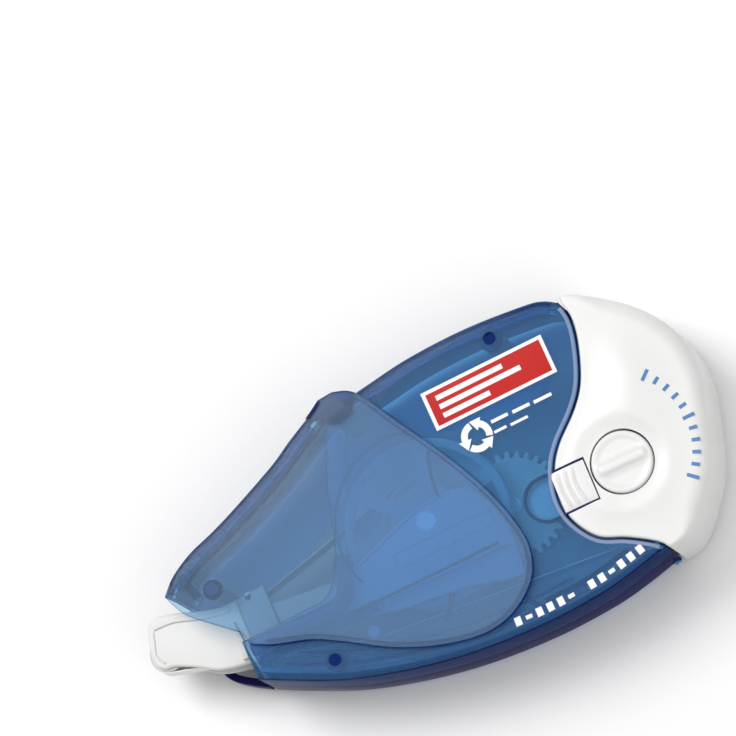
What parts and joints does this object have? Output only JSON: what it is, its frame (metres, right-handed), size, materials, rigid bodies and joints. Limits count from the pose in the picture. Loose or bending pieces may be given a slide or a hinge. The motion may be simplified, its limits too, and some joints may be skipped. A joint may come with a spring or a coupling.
{
  "type": "correction tape roller",
  "caption": "Flat hand-held correction tape roller: clear blue housing and tilting hood over a slide-in white refill with reels, gear train, release tongue and roller tip.",
  "frame": {"origin": "bottom centre of the bounding box, with the roller lying flat on its side on the z = 0 plane", "axes": "+X from the applicator head to the rear dome, +Y from the belly to the crown, +Z across the thickness towards the side with the tension knob"},
  "size_m": [0.115, 0.0564, 0.02],
  "materials": {
    "shell_blue": "clear blue styrene, glossy",
    "hood_blue": "clear light blue styrene, glossy",
    "post_blue": "deep blue, glossy",
    "refill_white": "white, satin",
    "reel_grey": "milky, satin",
    "gear_white": "acetal, satin",
    "tape_white": "chalky white film",
    "carrier_tan": "thin paper carrier",
    "steel": "bright turned steel"
  },
  "bodies": {
    "housing": {"housing_near_shell": "shell_blue", "housing_far_shell": "shell_blue", "hood_hinge_pin": "post_blue", "rear_post": "post_blue", "front_post": "post_blue"},
    "hood": {"hood_near_half": "hood_blue", "hood_far_half": "hood_blue", "hood_front_pin": "post_blue"},
    "refill": {"refill_near_cover": "refill_white", "refill_far_cover": "refill_white", "chassis_plate": "refill_white", "bridge_plate": "refill_white", "bridge_posts": "refill_white", "applicator_arm": "refill_white", "head_near_cheek": "refill_white", "head_far_cheek": "refill_white", "tip_roller_pin": "steel", "supply_guide_post": "refill_white", "return_guide_post": "refill_white", "supply_axle": "steel", "idler_axle": "steel", "take_up_axle": "steel", "tape_run": "tape_white", "carrier_return": "carrier_tan"},
    "release": {"release_tongue": "refill_white"},
    "supply_drive": {"supply_gear": "gear_white", "clutch_ring": "steel"},
    "supply_reel_set": {"supply_reel": "reel_grey", "supply_upper_flange": "reel_grey", "tape_roll": "tape_white", "tension_knob": "refill_white"},
    "idler": {"idler_gear": "gear_white"},
    "take_up": {"take_up_gear": "gear_white", "take_up_reel": "reel_grey", "take_up_upper_flange": "reel_grey", "used_carrier_roll": "carrier_tan"},
    "tip": {"tip_roller": "refill_white"}
  },
  "joints": [
    {"name": "hood_hinge", "type": "hinge", "parent": "housing", "child": "hood", "pos_m": [-0.007, 0.024, 0.01], "axis": [0, 0, -1], "range_deg": [0, 50]},
    {"name": "refill_slide", "type": "slide", "parent": "housing", "child": "refill", "axis": [1, 0, 0], "range_m": [0, 0.1]},
    {"name": "release_press", "type": "hinge", "parent": "refill", "child": "release", "pos_m": [0.0316, -0.0074, 0.0179], "axis": [0, -1, 0], "range_deg": [0, 5], "stiffness_Nm_per_rad": 0.2},
    {"name": "supply_gear_turn", "type": "hinge", "parent": "refill", "child": "supply_drive", "pos_m": [0.038, -0.007, 0.0054], "axis": [0, 0, 1], "continuous": true},
    {"name": "clutch_slip", "type": "hinge", "parent": "supply_drive", "child": "supply_reel_set", "pos_m": [0.038, -0.007, 0.01], "axis": [0, 0, 1], "continuous": true},
    {"name": "idler_turn", "type": "hinge", "parent": "refill", "child": "idler", "pos_m": [0.01491, -0.00322, 0.0054], "axis": [0, 0, 1], "continuous": true},
    {"name": "take_up_turn", "type": "hinge", "parent": "refill", "child": "take_up", "pos_m": [0.00011, -0.00079, 0.01], "axis": [0, 0, 1], "continuous": true},
    {"name": "tip_roller_turn", "type": "hinge", "parent": "refill", "child": "tip", "pos_m": [-0.0541, -0.0027, 0.01], "axis": [0, 0, 1], "continuous": true}
  ],
  "couplings": [
    {"joint": "idler_turn", "follows": "take_up_turn", "ratio": -0.5625},
    {"joint": "supply_gear_turn", "follows": "take_up_turn", "ratio": 0.3913}
  ]
}
